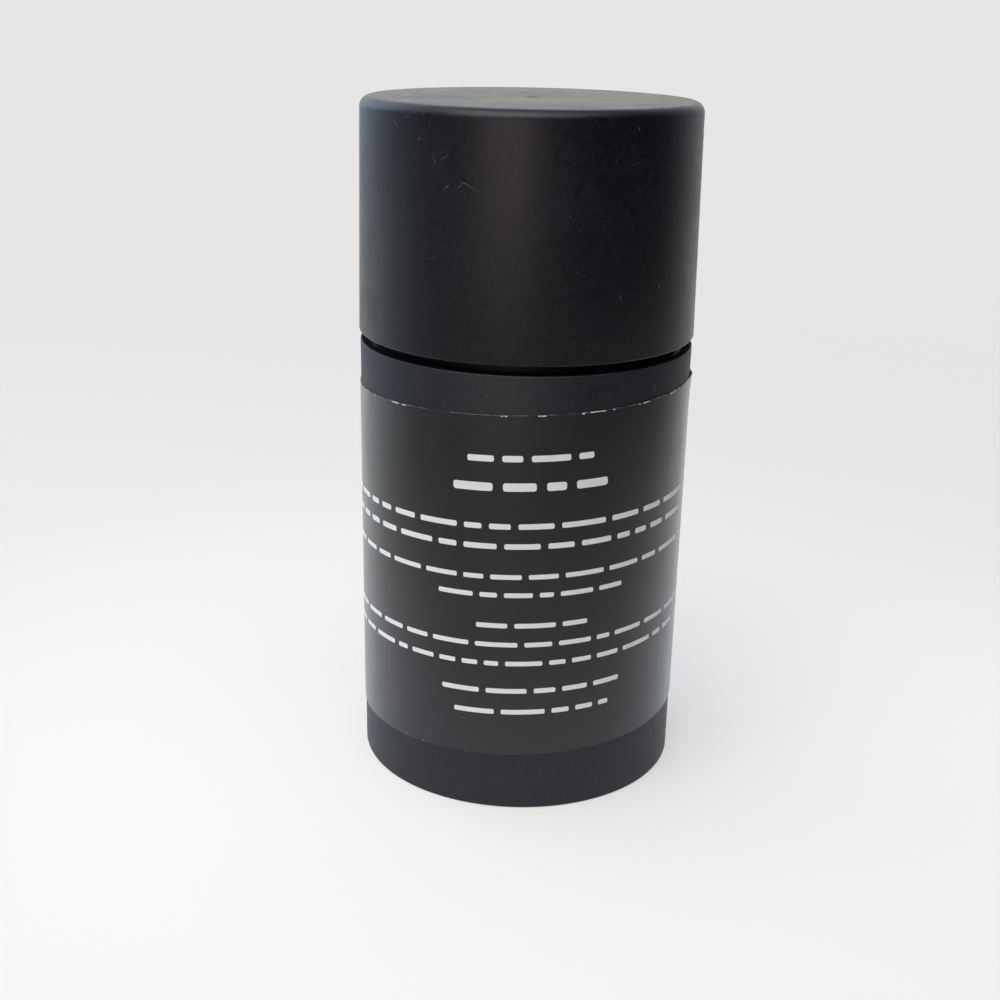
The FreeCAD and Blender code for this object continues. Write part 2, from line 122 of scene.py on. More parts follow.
class StickSizes(bpy.types.PropertyGroup):
    """Sizes of the modelled pieces that the frame doesn't give"""

    sides: IntProperty(
        name="Sides", description="Straight sides of a turned piece", default=192, min=24,
    )
    cap_wall: FloatProperty(
        name="Cap wall", description="Wall of the cap's shell", default=1.38 * MM, unit="LENGTH",
    )
    cap_roof: FloatProperty(
        name="Cap roof", description="Roof of the cap's shell", default=1.8 * MM, unit="LENGTH",
    )
    cap_draft: FloatProperty(
        name="Cap draft", description="Radius that the cap loses by its crown",
        default=0.39 * MM, unit="LENGTH",
    )
    lip_width: FloatProperty(
        name="Lip width", description="How far the cap's lip stands inwards",
        default=0.3 * MM, unit="LENGTH",
    )
    lip_height: FloatProperty(
        name="Lip height", description="Height of the cap's lip", default=0.35 * MM, unit="LENGTH",
    )
    gate_radius: FloatProperty(
        name="Gate radius", description="Radius of the gate mark on the cap",
        default=1.2 * MM, unit="LENGTH",
    )
    gate_depth: FloatProperty(
        name="Gate depth", description="Depth of the gate mark", default=0.12 * MM, unit="LENGTH",
    )
    nub_radius: FloatProperty(
        name="Nub radius", description="Radius of the nub in the gate mark",
        default=0.45 * MM, unit="LENGTH",
    )
    nub_height: FloatProperty(
        name="Nub height", description="Height of the nub in the gate mark",
        default=0.09 * MM, unit="LENGTH",
    )
    crown_round: FloatProperty(
        name="Crown rounding", description="Radius of the cap's upper edge",
        default=1.5 * MM, unit="LENGTH",
    )
    edge_round: FloatProperty(
        name="Edge rounding", description="Radius of the lips and the foot",
        default=0.28 * MM, unit="LENGTH",
    )
    sleeve_wall: FloatProperty(
        name="Sleeve wall", description="Wall of the outer sleeve", default=1.4 * MM, unit="LENGTH",
    )
    sleeve_draft: FloatProperty(
        name="Sleeve draft", description="Radius that the sleeve loses by its foot",
        default=0.28 * MM, unit="LENGTH",
    )
    recess_depth: FloatProperty(
        name="Recess depth", description="Depth of the dial's recess in the foot",
        default=10.8 * MM, unit="LENGTH",
    )
    ledge_thickness: FloatProperty(
        name="Ledge thickness", description="Thickness of the ledge that carries the chamber",
        default=1.5 * MM, unit="LENGTH",
    )
    ledge_bore: FloatProperty(
        name="Ledge bore", description="Inner radius of the ledge", default=21.2 * MM, unit="LENGTH",
    )
    label_top: FloatProperty(
        name="Label top", description="Upper edge of the label at the middle of the front",
        default=61.4 * MM, unit="LENGTH",
    )
    label_height: FloatProperty(
        name="Label height", description="Height of the label", default=52.3 * MM, unit="LENGTH",
    )
    label_wrap: FloatProperty(
        name="Label wrap", description="Angle of the sleeve that the label covers",
        default=math.radians(352), subtype="ANGLE",
    )
    label_skew: FloatProperty(
        name="Label skew", description="Rise of the label for each length around the sleeve",
        default=0.0313,
    )
    label_thickness: FloatProperty(
        name="Label thickness", description="Thickness of the label's film",
        default=0.12 * MM, unit="LENGTH",
    )
    label_glue: FloatProperty(
        name="Glue", description="Gap under the label's film", default=0.03 * MM, unit="LENGTH",
    )
    label_lift: FloatProperty(
        name="Label lift", description="How far the label's loose upper edge stands off",
        default=0.24 * MM, unit="LENGTH",
    )


class StickColours(bpy.types.PropertyGroup):
    """Base colours of the finishes"""

    shell: FloatVectorProperty(
        name="Shell", description="Black plastic of the cap and dial",
        subtype="COLOR", size=3, default=(0.0030, 0.0034, 0.0068),
    )
    sleeve: FloatVectorProperty(
        name="Sleeve", description="Black plastic of the sleeve, a little paler than the cap",
        subtype="COLOR", size=3, default=(0.0058, 0.0074, 0.0122),
    )
    neck: FloatVectorProperty(
        name="Neck", description="Glossy black plastic of the neck and liner",
        subtype="COLOR", size=3, default=(0.006, 0.006, 0.0065),
    )
    film: FloatVectorProperty(
        name="Film", description="Charcoal film of the label",
        subtype="COLOR", size=3, default=(0.0042, 0.0056, 0.0070),
    )
    ink: FloatVectorProperty(
        name="Ink", description="Pale print on the label",
        subtype="COLOR", size=3, default=(0.915, 0.93, 0.925),
    )
    paper: FloatVectorProperty(
        name="Paper", description="White core of the label where it is cut or chipped",
        subtype="COLOR", size=3, default=(0.80, 0.79, 0.76),
    )
    natural: FloatVectorProperty(
        name="Natural plastic", description="Unpigmented plastic of the inner pieces",
        subtype="COLOR", size=3, default=(0.78, 0.78, 0.74),
    )
    gel: FloatVectorProperty(
        name="Gel", description="The solid gel", subtype="COLOR", size=3, default=(0.74, 0.80, 0.78),
    )
    rubber: FloatVectorProperty(
        name="Rubber", description="Seal ring", subtype="COLOR", size=3, default=(0.03, 0.03, 0.03),
    )
    lint: FloatVectorProperty(
        name="Lint", description="Lint and dust", subtype="COLOR", size=3, default=(0.27, 0.28, 0.29),
    )


class StickStage(bpy.types.PropertyGroup):
    """The camera, lamps and backdrop"""

    lens: FloatProperty(
        name="Lens", description="Focal length on a 36 mm sensor, in millimetres", default=52.67,
    )
    camera_place: FloatVectorProperty(
        name="Camera place", description="Where the camera stands",
        subtype="XYZ", unit="LENGTH", size=3, default=(0.0, -218.12 * MM, 115.815 * MM),
    )
    camera_turn: FloatVectorProperty(
        name="Camera turn", description="Yaw to the right, pitch down and roll of the camera",
        subtype="EULER", size=3, default=(-0.0158, 0.3324, 0.0201),
    )
    backdrop: FloatVectorProperty(
        name="Backdrop", description="Colour of the far backdrop",
        subtype="COLOR", size=3, default=(0.800, 0.790, 0.785),
    )
    floor: FloatVectorProperty(
        name="Floor", description="Colour of the floor",
        subtype="COLOR", size=3, default=(0.87, 0.85, 0.825),
    )
    near_floor: FloatVectorProperty(
        name="Near floor", description="Glow of the floor close to the pack, as the camera sees it",
        subtype="COLOR", size=3, default=(0.96, 0.953, 0.945),
    )


class Wire:
    """An output socket. Arithmetic on it adds Math nodes to its tree."""

    def __init__(self, socket):
        self.socket = socket

    def output(self, name):
        """Another output of the same node."""
        return Wire(self.socket.node.outputs[name])

    def math(self, operation, *terms):
        return add(self.socket.id_data, "ShaderNodeMath", {"operation": operation}, terms)

    def __add__(self, other):
        return self.math("ADD", self, other)

    def __radd__(self, other):
        return self.math("ADD", other, self)

    def __sub__(self, other):
        return self.math("SUBTRACT", self, other)

    def __rsub__(self, other):
        return self.math("SUBTRACT", other, self)

    def __mul__(self, other):
        return self.math("MULTIPLY", self, other)

    def __rmul__(self, other):
        return self.math("MULTIPLY", other, self)

    def __lt__(self, other):
        return self.math("LESS_THAN", self, other)

    def ramp(self, low, high):
        """0 below one value, 1 above the other, and smooth between them."""
        settings = {"interpolation_type": "SMOOTHSTEP"}
        inputs = {"Value": self, "From Min": low, "From Max": high}
        return add(self.socket.id_data, "ShaderNodeMapRange", settings, inputs)


def add(tree, kind, settings=None, inputs=()):
    """Adds a node with its settings, then its sockets' values or links. Gives its first output."""
    node = tree.nodes.new(kind)
    for key, value in (settings or {}).items():
        setattr(node, key, value)
    pairs = inputs.items() if isinstance(inputs, dict) else enumerate(inputs)
    for key, value in pairs:
        socket = node.inputs[key]
        if isinstance(value, Wire):
            tree.links.new(value.socket, socket)
        elif socket.type == "RGBA":
            socket.default_value = (*value, 1.0)[:4]
        else:
            socket.default_value = value
    return Wire(node.outputs[0]) if node.outputs else None


def blend(tree, share, low, high):
    """A colour between two others."""
    settings = {"data_type": "RGBA"}
    node = add(tree, "ShaderNodeMix", settings, {0: share, 6: low, 7: high})
    return Wire(node.socket.node.outputs[2])


def noise(tree, places, scale, detail=2.0, roughness=0.5):
    """A smooth random value from 0 to 1, with its scale in turns for each metre."""
    inputs = {"Vector": places, "Scale": scale, "Detail": detail, "Roughness": roughness}
    return add(tree, "ShaderNodeTexNoise", {}, inputs)


def stretched(tree, places, scale):
    """Places scaled by a different number along each axis."""
    return add(tree, "ShaderNodeMapping", {}, {"Vector": places, "Scale": scale})


def shade_of(colour, share, lift=0.0):
    """A colour multiplied by a share and lifted a little."""
    return [value * share + lift for value in colour]


def bump(tree, height, depth, under=None):
    """A normal from a height that counts in multiples of a depth, over another normal."""
    inputs = {"Height": height, "Distance": depth, "Strength": 1.0}
    if under is not None:
        inputs["Normal"] = under
    return add(tree, "ShaderNodeBump", {}, inputs)


def new_material(name):
    """An empty node material, with its tree and its object coordinates."""
    material = bpy.data.materials.new(name)
    material.use_nodes = True
    tree = material.node_tree
    tree.nodes.clear()
    places = add(tree, "ShaderNodeTexCoord").output("Object")
    return material, tree, places


def finish_with(tree, inputs):
    """Ends a material in one Principled shader."""
    shader = add(tree, "ShaderNodeBsdfPrincipled", {}, inputs)
    add(tree, "ShaderNodeOutputMaterial", {}, {"Surface": shader})


def dust_on(tree, places, cells, size, share):
    """1 on small round specks, one at most in each cell and only in a share of the cells."""
    inputs = {"Vector": places, "Scale": cells}
    specks = add(tree, "ShaderNodeTexVoronoi", {}, inputs)
    chance = add(tree, "ShaderNodeSeparateColor", {}, [specks.output("Color")])
    return (specks < size) * (chance < share)


def satin_plastic(name, colour, roughness, ior=1.49, grain=0.010):
    """Moulded black plastic with a spark-eroded grain as deep as grain in millimetres.

    Faint smudges, scuffs, pits and dust lie on it.
    """
    material, tree, places = new_material(name)
    cloud = noise(tree, places, 230.0, 3.0, 0.6)
    smudge = noise(tree, places, 75.0, 4.0, 0.62).ramp(0.52, 0.72)
    patch = noise(tree, places, 360.0, 3.0, 0.6).ramp(0.54, 0.72)
    mottle = noise(tree, places, 1500.0, 3.0, 0.65)
    stretch = stretched(tree, places, (700.0, 700.0, 90.0))
    hairs = noise(tree, stretch, 1.0, 2.0).ramp(0.66, 0.78)
    dust = dust_on(tree, places, 620.0, 0.075, 0.30)
    pits = dust_on(tree, places, 520.0, 0.12, 0.45)
    grains = noise(tree, places, 4600.0, 2.0, 0.6)
    swell = noise(tree, places, 70.0, 1.0)
    shade = blend(tree, smudge * 0.6 + hairs * 0.3, colour, shade_of(colour, 1.6, 0.002))
    shade = blend(tree, patch * 0.6, shade, shade_of(colour, 0.3))
    shade = blend(tree, mottle.ramp(0.40, 0.75) * 0.7, shade, shade_of(colour, 2.2, 0.002))
    shade = blend(tree, dust * 0.30, shade, (0.10, 0.11, 0.12))
    gloss = roughness + (cloud - 0.5) * 0.10 + smudge * 0.05 - patch * 0.05 + dust * 0.3
    gloss = gloss + (mottle - 0.5) * 0.16
    normal = bump(tree, swell, 0.04 * MM)
    normal = bump(tree, mottle, 0.022 * MM, normal)
    normal = bump(tree, grains, grain * MM, normal)
    normal = bump(tree, dust - pits, 0.015 * MM, normal)
    finish_with(tree, {
        "Base Color": shade, "Roughness": gloss, "Normal": normal, "IOR": ior,
    })
    return material


def dull_plastic(name, colour):
    """The untextured inner faces of the black mouldings, which shine little."""
    material, tree, places = new_material(name)
    cloud = noise(tree, places, 300.0, 3.0, 0.6)
    rings = stretched(tree, places, (90.0, 90.0, 1500.0))
    tooling = noise(tree, rings, 1.0, 2.0)
    shade = blend(tree, cloud, shade_of(colour, 0.7), shade_of(colour, 1.3))
    normal = bump(tree, tooling, 0.004 * MM)
    finish_with(tree, {
        "Base Color": shade, "Roughness": 0.76 + tooling * 0.15, "Normal": normal, "IOR": 1.18,
    })
    return material


def gloss_plastic(name, colour):
    """Polished black plastic, with fine rubbing marks along the way that the cap slides."""
    material, tree, places = new_material(name)
    stretch = stretched(tree, places, (2200.0, 2200.0, 60.0))
    rubs = noise(tree, stretch, 1.0, 2.0).ramp(0.55, 0.75)
    cloud = noise(tree, places, 180.0, 3.0, 0.6)
    dust = dust_on(tree, places, 800.0, 0.06, 0.15)
    shade = blend(tree, dust * 0.5, colour, (0.15, 0.15, 0.15))
    gloss = 0.36 + cloud * 0.08 + rubs * 0.10 + dust * 0.3
    normal = bump(tree, rubs, 0.002 * MM)
    finish_with(tree, {
        "Base Color": shade, "Roughness": gloss, "Normal": normal, "IOR": 1.35,
        "Specular IOR Level": 0.3,
    })
    return material


def label_film(name, colour):
    """Satin printed film with faint streaks, rubbing and orange peel from the glue below it."""
    material, tree, places = new_material(name)
    cloud = noise(tree, places, 160.0, 4.0, 0.6)
    rub = noise(tree, places, 60.0, 5.0, 0.65).ramp(0.50, 0.78)
    stretch = stretched(tree, places, (600.0, 600.0, 45.0))
    streaks = noise(tree, stretch, 1.0, 3.0, 0.6)
    mottle = noise(tree, places, 1300.0, 3.0, 0.65)
    dust = dust_on(tree, places, 560.0, 0.06, 0.16)
    peel = noise(tree, places, 480.0, 2.0)
    weave = noise(tree, places, 3800.0, 2.0, 0.6)
    swell = noise(tree, places, 95.0, 1.0)
    shade = blend(tree, rub * 0.5, colour, shade_of(colour, 1.5, 0.002))
    shade = blend(tree, mottle.ramp(0.35, 0.75) * 0.4, shade, shade_of(colour, 1.7))
    shade = blend(tree, dust * 0.35, shade, (0.16, 0.16, 0.16))
    gloss = 0.34 + (cloud - 0.5) * 0.10 + rub * 0.05 + dust * 0.3 + (mottle - 0.5) * 0.12
    gloss = gloss + (streaks - 0.5) * 0.12
    normal = bump(tree, swell, 0.04 * MM)
    normal = bump(tree, streaks, 0.003 * MM, normal)
    normal = bump(tree, peel, 0.010 * MM, normal)
    normal = bump(tree, mottle, 0.010 * MM, normal)
    normal = bump(tree, weave, 0.003 * MM, normal)
    finish_with(tree, {
        "Base Color": shade, "Roughness": gloss, "Normal": normal, "IOR": 1.5,
        "Coat Weight": 0.50, "Coat Roughness": 0.20,
    })
    return material


def cut_edge(name, colour, core):
    """The cut edge of the film: painted dark along most of it as shade along the label's edge, with
    the pale core showing through in places.
    """
    material, tree, places = new_material(name)
    bare = noise(tree, places, 330.0, 4.0, 0.7).ramp(0.44, 0.62)
    fibre = noise(tree, places, 4200.0, 3.0, 0.7)
    # Painted shade: the edge keeps the film's dark colour except where the noise lets the pale core
    # through
    shade = blend(tree, bare * 0.78 + 0.14, colour, shade_of(core, 0.6))
    normal = bump(tree, fibre, 0.008 * MM)
    finish_with(tree, {
        "Base Color": shade, "Roughness": 0.6 + fibre * 0.2, "Normal": normal,
    })
    return material


def paper_core(name, colour):
    """Bare fibrous core of the label."""
    material, tree, places = new_material(name)
    fibre = noise(tree, places, 4200.0, 3.0, 0.7)
    shade = blend(tree, fibre, shade_of(colour, 0.75), colour)
    normal = bump(tree, fibre, 0.012 * MM)
    finish_with(tree, {
        "Base Color": shade, "Roughness": 0.75 + fibre * 0.15, "Normal": normal,
    })
    return material


def printed_ink(name, colour):
    """Pale ink, a little thin and uneven on the film."""
    material, tree, places = new_material(name)
    thin = noise(tree, places, 2600.0, 3.0, 0.7)
    worn = noise(tree, places, 240.0, 3.0).ramp(0.62, 0.80)
    shade = blend(tree, thin * 0.22 + worn * 0.25, colour, shade_of(colour, 0.55))
    normal = bump(tree, thin, 0.004 * MM)
    finish_with(tree, {
        "Base Color": shade, "Roughness": 0.42 + thin * 0.15, "Normal": normal,
    })
    return material


def natural_plastic(name, colour):
    """Milky unpigmented plastic with a fine moulded grain and faint flow marks."""
    material, tree, places = new_material(name)
    cloud = noise(tree, places, 200.0, 3.0, 0.6)
    flow = noise(tree, places, 60.0, 5.0, 0.6)
    grains = noise(tree, places, 4200.0, 2.0)
    shade = blend(tree, flow, shade_of(colour, 0.93), colour)
    normal = bump(tree, grains, 0.006 * MM)
    finish_with(tree, {
        "Base Color": shade, "Roughness": 0.34 + cloud * 0.14, "Normal": normal, "IOR": 1.5,
        "Subsurface Weight": 0.25, "Subsurface Radius": (1.2 * MM, 1.2 * MM, 1.0 * MM),
        "Subsurface Scale": 1.0,
    })
    return material


def set_gel(name, colour):
    """Translucent waxy gel with a soft swell, small pits and a skin that is glossy in places."""
    material, tree, places = new_material(name)
    cloud = noise(tree, places, 120.0, 4.0, 0.6)
    swell = noise(tree, places, 140.0, 2.0)
    pits = dust_on(tree, places, 420.0, 0.10, 0.12)
    stretch = stretched(tree, places, (500.0, 500.0, 40.0))
    drag = noise(tree, stretch, 1.0, 3.0)
    shade = blend(tree, cloud, shade_of(colour, 0.90), colour)
    # Painted shade: the pits are also darker in colour
    shade = blend(tree, pits * 0.3, shade, shade_of(colour, 0.7))
    normal = bump(tree, swell, 0.08 * MM)
    normal = bump(tree, drag, 0.02 * MM, normal)
    normal = bump(tree, 1.0 - pits, 0.03 * MM, normal)
    finish_with(tree, {
        "Base Color": shade, "Roughness": 0.20 + cloud * 0.16, "Normal": normal, "IOR": 1.42,
        "Subsurface Weight": 0.75, "Subsurface Radius": (5.0 * MM, 5.5 * MM, 5.0 * MM),
        "Subsurface Scale": 1.0, "Coat Weight": 0.2, "Coat Roughness": 0.15,
    })
    return material


def matt_rubber(name, colour):
    """Moulded rubber with a fine matt skin."""
    material, tree, places = new_material(name)
    skin = noise(tree, places, 3000.0, 3.0)
    shade = blend(tree, skin, shade_of(colour, 0.8), shade_of(colour, 1.2))
    normal = bump(tree, skin, 0.008 * MM)
    finish_with(tree, {
        "Base Color": shade, "Roughness": 0.60 + skin * 0.15, "Normal": normal,
    })
    return material


def grey_lint(name, colour):
    """Pale dust and textile lint."""
    material, tree, places = new_material(name)
    mix = noise(tree, places, 6000.0, 2.0)
    shade = blend(tree, mix, shade_of(colour, 0.6), colour)
    normal = bump(tree, mix, 0.01 * MM)
    finish_with(tree, {"Base Color": shade, "Roughness": 0.8 + mix * 0.1, "Normal": normal})
    return material


def finish(slot):
    """The finish of a material slot, made the first time that a piece asks for it."""
    if slot in bpy.data.materials and bpy.data.materials[slot].get("made_here"):
        return bpy.data.materials[slot]
    colours = bpy.context.scene.stick_colours
    makers = {
        "shell_plastic": lambda n: satin_plastic(n, colours.shell, 0.38, ior=1.44),
        "sleeve_plastic": lambda n: satin_plastic(n, colours.sleeve, 0.54, ior=1.52),
        "inner_plastic": lambda n: dull_plastic(n, colours.shell),
        "dial_plastic": lambda n: satin_plastic(n, colours.shell, 0.38, grain=0.006),
        "neck_plastic": lambda n: gloss_plastic(n, colours.neck),
        "charcoal_film": lambda n: label_film(n, colours.film),
        "film_edge": lambda n: cut_edge(n, colours.film, colours.paper),
        "label_core": lambda n: paper_core(n, colours.paper),
        "label_ink": lambda n: printed_ink(n, colours.ink),
        "milky_plastic": lambda n: natural_plastic(n, colours.natural),
        "stick_gel": lambda n: set_gel(n, colours.gel),
        "ring_rubber": lambda n: matt_rubber(n, colours.rubber),
        "lint_grey": lambda n: grey_lint(n, colours.lint),
    }
    material = makers[slot](slot)
    material["made_here"] = True
    return material


def deselect_all():
    """Leaves edit mode and selects nothing."""
    if bpy.context.object and bpy.context.object.mode != "OBJECT":
        bpy.ops.object.mode_set(mode="OBJECT")
    bpy.ops.object.select_all(action="DESELECT")


def name_piece(name):
    """Names the primitive just added and puts its place into its mesh."""
    piece = bpy.context.active_object
    piece.name = name
    piece.data.name = name
    bpy.ops.object.transform_apply(location=True, rotation=True, scale=True)
    return piece


def activate(piece):
    """Makes a piece the active object and the only selected one."""
    deselect_all()
    piece.select_set(True)
    bpy.context.view_layer.objects.active = piece


def edit(piece):
    """Opens a piece for editing with nothing picked."""
    activate(piece)
    bpy.ops.object.mode_set(mode="EDIT")
    bpy.ops.mesh.select_all(action="DESELECT")


def end_edit():
    """Goes back to object mode."""
    bpy.ops.object.mode_set(mode="OBJECT")


def pick(piece, kind, test):
    """Selects the faces, edges or vertices whose corners all pass a test, and nothing else."""
    bpy.ops.mesh.select_mode(type=kind)
    bpy.ops.mesh.select_all(action="DESELECT")
    mesh = bmesh.from_edit_mesh(piece.data)
    group = {"VERT": mesh.verts, "EDGE": mesh.edges, "FACE": mesh.faces}[kind]
    for item in group:
        corners = [item] if kind == "VERT" else item.verts
        if all(test(corner.co) for corner in corners):
            item.select_set(True)
    mesh.select_flush_mode()
    bmesh.update_edit_mesh(piece.data)


def on_ring(radius, height):
    """A test for points on one ring about the axis."""
    level = at_height(height)
    return lambda p: abs(math.hypot(p.x, p.y) - radius) < TOLERANCE and level(p)


def at_height(height):
    """A test for points at one height."""
    return lambda p: abs(p.z - height) < TOLERANCE


def turn_steps(radius, height, steps):
    """Extrudes the picked end face through (radius, height) steps, as a lathe would cut it."""
    for new_radius, new_height in steps:
        move = {"value": (0, 0, new_height - height)}
        bpy.ops.mesh.extrude_region_move(TRANSFORM_OT_translate=move)
        share = new_radius / radius
        bpy.ops.transform.resize(value=(share, share, 1), center_override=(0, 0, new_height))
        radius, height = new_radius, new_height


def round_rings(piece, rings):
    """Rounds the edges on rings of (radius, height, rounding, segments)."""
    for radius, height, rounding, segments in rings:
        pick(piece, "EDGE", on_ring(radius, height))
        bpy.ops.mesh.bevel(offset=rounding, segments=segments, profile=0.5, affect="EDGES")


def smooth(piece, degrees=35.0):
    """Shades a piece smooth, apart from its sharp edges."""
    activate(piece)
    bpy.ops.object.shade_smooth_by_angle(angle=math.radians(degrees))


def dress(piece, *finishes):
    """Gives a piece its materials, in the order of its material indices."""
    piece.data.materials.clear()
    for slot in finishes:
        piece.data.materials.append(finish(slot))


def dress_inside(piece, outside, inside, test):
    """Gives a hollow piece one finish outside and another on the faces that pass a test."""
    dress(piece, outside, inside)
    edit(piece)
    pick(piece, "FACE", test)
    piece.active_material_index = 1
    bpy.ops.object.material_slot_assign()
    end_edit()


def sleeve_radius(sizes, height):
    """Outer radius of the sleeve at a height."""
    return SLEEVE_HIGH.x - sizes.sleeve_draft * (1 - height / SLEEVE_HIGH.z)


def barrel_radius(sizes, height):
    """Outer radius of the barrel: the sleeve's, or the label's where it covers the sleeve."""
    skew_drop = 0.7 * MM
    low = sizes.label_top - sizes.label_height - skew_drop
    film = sizes.label_glue + sizes.label_thickness
    return sleeve_radius(sizes, height) + (film if low < height < sizes.label_top else 0)


def cap_radius(sizes, height):
    """Outer radius of the cap at a height."""
    share = (height - CAP_LOW.z) / (CAP_HIGH.z - CAP_LOW.z)
    return CAP_HIGH.x - sizes.cap_draft * share


def on_pack(radius, degrees, height):
    """A point round the pack, counted from the front to the reader's right."""
    angle = math.radians(degrees)
    return Vector((radius * math.sin(angle), -radius * math.cos(angle), height))


class STICK_OT_cap(bpy.types.Operator):
    """Model the cap's shell, with its drafted wall, round crown and gate mark"""

    bl_idname = "stick.cap"
    bl_label = "Cap Shell"

    def execute(self, context):
        sizes = context.scene.stick_sizes
        low, high = CAP_LOW.z, CAP_HIGH.z
        lip = cap_radius(sizes, low)
        crown = cap_radius(sizes, high)
        deselect_all()
        bpy.ops.mesh.primitive_cylinder_add(
            vertices=sizes.sides, radius=lip, depth=high - low, location=(0, 0, (low + high) / 2),
        )
        cap = name_piece("cap_moulding")
        edit(cap)
        pick(cap, "VERT", at_height(high))
        share = crown / lip
        bpy.ops.transform.resize(value=(share, share, 1), center_override=(0, 0, high))
        pick(cap, "FACE", at_height(high))
        gate, nub = sizes.gate_radius, sizes.nub_radius
        gate_slope = 0.3 * MM
        gate_floor = high - sizes.gate_depth
        nub_top = gate_floor + sizes.nub_height
        turn_steps(crown, high, [
            (gate, high), (gate - gate_slope, gate_floor), (nub, gate_floor), (nub, nub_top),
        ])
        pick(cap, "FACE", at_height(low))
        inner = lip - sizes.cap_wall
        mouth = inner - sizes.lip_width
        catch = low + sizes.lip_height
        roof = high - sizes.cap_roof
        turn_steps(lip, low, [
            (mouth, low), (mouth, catch), (inner, catch), (inner - sizes.cap_draft, roof),
        ])
        soft = 0.12 * MM
        round_rings(cap, [
            (crown, high, sizes.crown_round, 10),
            (lip, low, sizes.edge_round, 4),
            (mouth, low, soft, 2),
            (gate, high, soft, 2),
            (nub, nub_top, soft / 2, 2),
        ])
        end_edit()
        smooth(cap)
        skin = 0.35 * MM
        dress_inside(cap, "shell_plastic", "inner_plastic", lambda p: (
            math.hypot(p.x, p.y) < cap_radius(sizes, p.z) - skin and p.z < roof + skin
        ))
        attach(cap, "cap")
        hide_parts("cap_shell")
        return {"FINISHED"}


class STICK_OT_sleeve(bpy.types.Operator):
    """Model the outer sleeve, with the recess in its foot and the ledge for the chamber"""

    bl_idname = "stick.sleeve"
    bl_label = "Outer Sleeve"

    def execute(self, context):
        sizes = context.scene.stick_sizes
        top = SLEEVE_HIGH.z
        foot_radius = sleeve_radius(sizes, 0)
        top_radius = sleeve_radius(sizes, top)
        bore = top_radius - sizes.sleeve_wall
        recess = sizes.recess_depth
        ledge = recess + sizes.ledge_thickness
        deselect_all()
        bpy.ops.mesh.primitive_cylinder_add(
            vertices=sizes.sides, radius=foot_radius, depth=top, location=(0, 0, top / 2),
        )
        sleeve = name_piece("sleeve_moulding")
        edit(sleeve)
        pick(sleeve, "VERT", at_height(top))
        share = top_radius / foot_radius
        bpy.ops.transform.resize(value=(share, share, 1), center_override=(0, 0, top))
        pick(sleeve, "FACE", at_height(top))
        turn_steps(top_radius, top, [(bore, top), (bore, ledge), (sizes.ledge_bore, ledge)])
        pick(sleeve, "FACE", at_height(0))
        turn_steps(foot_radius, 0, [(bore, 0), (bore, recess), (sizes.ledge_bore, recess)])
        rims = (on_ring(sizes.ledge_bore, ledge), on_ring(sizes.ledge_bore, recess))
        pick(sleeve, "FACE", lambda p: rims[0](p) or rims[1](p))
        bpy.ops.mesh.bridge_edge_loops()
        round_rings(sleeve, [
            (top_radius, top, sizes.edge_round * 0.6, 4),
            (bore, top, sizes.edge_round, 3),
            (foot_radius, 0, sizes.edge_round * 1.2, 4),
        ])
        end_edit()
        smooth(sleeve)
        skin = 0.12 * MM
        dress_inside(sleeve, "sleeve_plastic", "inner_plastic", lambda p: (
            math.hypot(p.x, p.y) < sleeve_radius(sizes, p.z) - skin
        ))
        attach(sleeve, "barrel")
        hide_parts("outer_sleeve")
        return {"FINISHED"}


def label_lift(sizes, along, height):
    """How far the label's loose upper edge stands off the sleeve at a place."""
    past = along - LOOSE_CENTRE * MM
    reach = (LOOSE_REACH_LEFT if past < 0 else LOOSE_REACH_RIGHT) * MM
    top = sizes.label_top + sizes.label_skew * along
    side = max(0.0, 1 - (past / reach) ** 2)
    down = max(0.0, 1 - (top - height) / (LOOSE_DEPTH * MM))
    return sizes.label_lift * side * side * down * down


def wrap(piece, sizes):
    """Wraps a flat piece askew round the sleeve: x runs along it, y up it and z outwards."""
    middle = sizes.label_top - sizes.label_height / 2
    for vertex in piece.data.vertices:
        flat, up, out = vertex.co
        along = flat - sizes.label_skew * up
        height = middle + up + sizes.label_skew * flat
        radius = sleeve_radius(sizes, height) + sizes.label_glue + out
        radius += label_lift(sizes, along, height)
        degrees = math.degrees(along / SLEEVE_HIGH.x)
        vertex.co = on_pack(radius, degrees, height)
    piece.data.update()


def thicken(piece, thickness, rim=0, below=0):
    """Thickens a flat piece outwards, with the material indices of its rim and its underside."""
    solid = piece.modifiers.new("thickness", "SOLIDIFY")
    solid.thickness = thickness
    solid.offset = 1.0
    solid.material_offset_rim = rim
    solid.material_offset = below
    activate(piece)
    bpy.ops.object.modifier_apply(modifier=solid.name)


def lay_on_label(piece, sizes, thickness):
    """Thickens a flat piece, sets it on the film and wraps it round the sleeve."""
    thicken(piece, thickness)
    for vertex in piece.data.vertices:
        vertex.co.z += sizes.label_thickness
    wrap(piece, sizes)


class STICK_OT_label(bpy.types.Operator):
    """Cut the label flat, give it its thickness and wrap it askew round the sleeve"""

    bl_idname = "stick.label"
    bl_label = "Wrap Label"

    def execute(self, context):
        sizes = context.scene.stick_sizes
        width = sizes.label_wrap * SLEEVE_HIGH.x
        deselect_all()
        bpy.ops.mesh.primitive_grid_add(x_subdivisions=264, y_subdivisions=40, size=1)
        label = bpy.context.active_object
        label.scale = (width, sizes.label_height, 1)
        label = name_piece("label_wrap")
        dress(label, "charcoal_film", "film_edge", "label_core")
        thicken(label, sizes.label_thickness, rim=1, below=2)
        wrap(label, sizes)
        smooth(label, 50.0)
        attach(label, "barrel")
        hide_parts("label")
        return {"FINISHED"}


